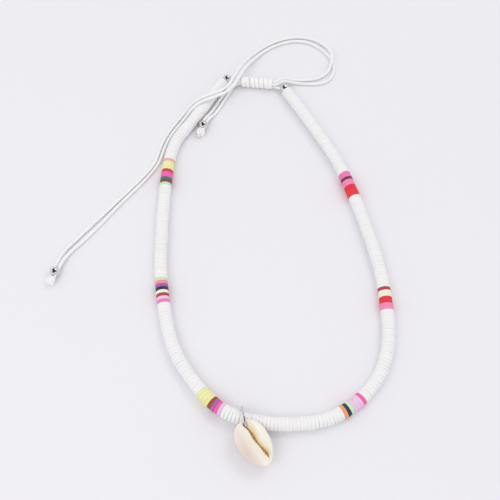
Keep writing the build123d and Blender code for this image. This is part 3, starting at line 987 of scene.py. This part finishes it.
def shell_outline(share):
    """Points round the shell at a share of its length: across, height, how golden and how notched."""
    end = min(share, 1 - share) / blunt_from
    blunt = math.sqrt(max(0.0, 1 - (1 - min(1.0, end)) ** 2)) * 0.97 + 0.03
    half_width = shell_share(share, 1) * shell_width / 2 * blunt
    rise = shell_share(share, 2) * shell_rise * blunt
    depth = shell_share(share, 3) * shell_depth * blunt
    slit_share = min(max((share - 0.15) / 0.75, 0.0), 1.0)
    middle = (slit_bow + slit_sway * math.sin(math.tau * slit_share)) * fade(share, 0.02, 0.2)
    middle += slit_bend * fade(share, 0.40, 0.88) * shell_share(share, 1)
    open_share = fade(share, 0.0, 0.14) * fade(0.93 - share, 0.0, 0.14)
    slit = slit_least + (slit_more + slit_wave * math.cos(1.3 * math.tau * share) ** 2) * open_share
    groove = min(groove_limit, groove_share * (rise + depth)) * (0.04 + 0.96 * open_share)
    gold_reach = gold_least + gold_more * fade(0.42 - share, 0.0, 0.2)
    teeth = fade(share, 0.10, 0.22) * fade(0.90 - share, 0.0, 0.10)
    deep_gold = fade(open_share, 0.0, 0.4)

    def lip(side):
        """Points from the side over one lip down to the floor of the slit."""
        stagger = 0.2 if side > 0 else 0.0
        wave = 0.5 + 0.5 * math.cos(math.tau * (share * shell_length + stagger) / tooth_pitch)
        tooth = wave ** 1.3 * teeth
        roll = min(lip_roll_limit[side], lip_roll_share[side] * (rise + depth)) * open_share
        edge = side * middle + slit
        edge_angle = math.acos(min(0.98, max(-0.98, edge / half_width)))
        points = []
        for k in range(lip_steps + 1):
            angle = edge_angle * (1 - (1 - k / lip_steps) ** 1.7)
            across, height = half_width * math.cos(angle), rise * math.sin(angle)
            away = across - edge
            near = fade(1.5 - away, 0.0, 1.4)
            height += tooth_height * near * (tooth - 0.4 * teeth)
            height -= roll * max(0.0, 1 - away / lip_reach[side]) ** 2.0
            across -= tooth_push * tooth * fade(0.35 - away, 0.0, 0.35)
            golden = 0.9 * max(0.0, 1 - away / gold_reach) * open_share if side > 0 else 0.0
            points.append((across, height, golden, (1 - wave) * teeth * near * 0.45))
        across, height, golden, notched = points[-1]
        for away, down, deep in slit_wall:
            points.append((across + away * open_share, height - down * groove, max(deep * deep_gold, golden),
                           notched * (1 - deep)))
        return points

    right, left = lip(1), lip(-1)
    floor_height = min(right[-1][1], left[-1][1]) - 0.12 * groove
    outline = [*right, (middle, floor_height, deep_gold, 0.0)]
    outline += [(-across, *rest) for across, *rest in reversed(left)]
    for k in range(1, back_steps):
        angle = math.pi + math.pi * k / back_steps
        outline.append((half_width * math.cos(angle), depth * math.sin(angle), 0.0, 0.0))
    return outline


def cowrie_shell():
    """A cowrie lying on its back: two rolled lips with teeth along a slit, over a domed back."""
    mesh = bmesh.new()
    inner, flank_shade, gap = [mesh.verts.layers.float.new(name) for name in ("inner", "flank_shade", "tooth_gap")]
    place_layer = mesh.verts.layers.float_vector.new("shell_place")
    stations = [blunt_step * k for k in range(6)]
    stations += [blunt_from + (blunt_to - blunt_from) * k / body_steps for k in range(body_steps + 1)]
    stations += [blunt_to + blunt_step * k for k in range(1, 7)]
    rings = []
    for share in stations:
        ring = []
        for across, height, golden, notched in shell_outline(share):
            vert = mesh.verts.new((share * shell_length, across, height))
            # Painted shade: beige-pink down the left side, stronger past the middle, and towards the
            # underside
            left_flank = fade(-across / shell_width, 0.02, 0.36) * (0.5 + 0.45 * fade(share, 0.15, 0.6))
            under = fade(-height / shell_depth + 0.12, 0.0, 0.62)
            vert[inner] = golden
            vert[flank_shade] = max(under, left_flank) * (1 - golden)
            vert[gap] = notched
            vert[place_layer] = vert.co
            ring.append(vert)
        rings.append(ring)
    bridge(mesh, rings)
    mesh.transform(Matrix.Translation(shell_end_at) @ Matrix.Rotation(math.radians(shell_heading), 4, "Z")
                   @ Matrix.Rotation(math.radians(-shell_slope), 4, "Y") @ Matrix.Scale(MM, 4))
    piece = piece_from(mesh, "cowrie_shell_look", glaze)
    channel = bmesh.new()
    bridge(channel, [ring_section(channel, a, ring_channel_radius, 20) for a in angles(96)], closed=True)
    carve(piece, [channel])
    smooth(piece, sharp_from=50)
    settle(piece, "shell", "cowrie_shell")


cowrie_shell()


# Floor and light
def paper():
    material, tree, shader = new_material("pale_paper")
    skin = use(tree, mottle, {"Color": (0.842, 0.834, 0.868, 1), "Cloud Scale": 6.0, "Speck Scale": 900.0,
                              "Amount": 0.02})
    feed(tree, shader, {"Base Color": skin["Color"], "Roughness": 0.9})
    return material


floor_half_width = 2.0
sheet = bmesh.new()
bmesh.ops.create_grid(sheet, x_segments=2, y_segments=2, size=floor_half_width)
floor = piece_from(sheet, "floor", paper())


def soft_light(name, place, size, power, colour, mirrored):
    """A round lamp that looks at the middle of the floor, and shows in polished metal only if mirrored."""
    lamp = bpy.data.lights.new(name, "AREA")
    lamp.shape = "DISK"
    lamp.size = size
    lamp.energy = power
    lamp.color = colour
    holder = new_object(name, lamp)
    holder.location = place
    holder.rotation_euler = (-Vector(place)).to_track_quat("-Z", "Y").to_euler()
    holder.visible_glossy = mirrored


soft_light("light_back_right", (0.45, 0.5, 1.0), 0.5, 1.6, (1.0, 0.985, 0.97), True)
soft_light("light_front_left", (-0.28, -0.25, 0.5), 0.4, 0.57, (1.0, 1.0, 0.985), False)

# A white tent all round. The dark opening in its top shows in the metal, but takes no light from the floor
tent_strength = 0.885
cloth_colour, opening_colour = (0.94, 0.94, 0.955, 1), (0.05, 0.05, 0.055, 1)
opening_from, opening_to = 0.63, 0.73
lobe_count, lobe_size = 3.0, 0.09
world = bpy.data.worlds.new("white_tent")
scene.world = world
world.use_nodes = True
tent = world.node_tree
tent.nodes.clear()
look_way = put(tent, "ShaderNodeTexCoord").outputs["Generated"]
look_x, look_y, look_z = put(tent, "ShaderNodeSeparateXYZ", {0: look_way}).outputs
sideways = calc(tent, "ARCTAN2", look_y, look_x)
lobes = times(tent, calc(tent, "COSINE", times(tent, sideways, lobe_count)), lobe_size)
top = ranged(tent, calc(tent, "ADD", look_z, lobes), opening_from, opening_to)
seen = put(tent, "ShaderNodeLightPath").outputs["Is Glossy Ray"]
cloth = blend(tent, times(tent, top, seen), cloth_colour, opening_colour)
tent_light = put(tent, "ShaderNodeBackground", {"Color": cloth, "Strength": tent_strength})
put(tent, "ShaderNodeOutputWorld", {"Surface": tent_light.outputs[0]})

scene.view_settings.view_transform = "Standard"
scene.view_settings.look = "None"
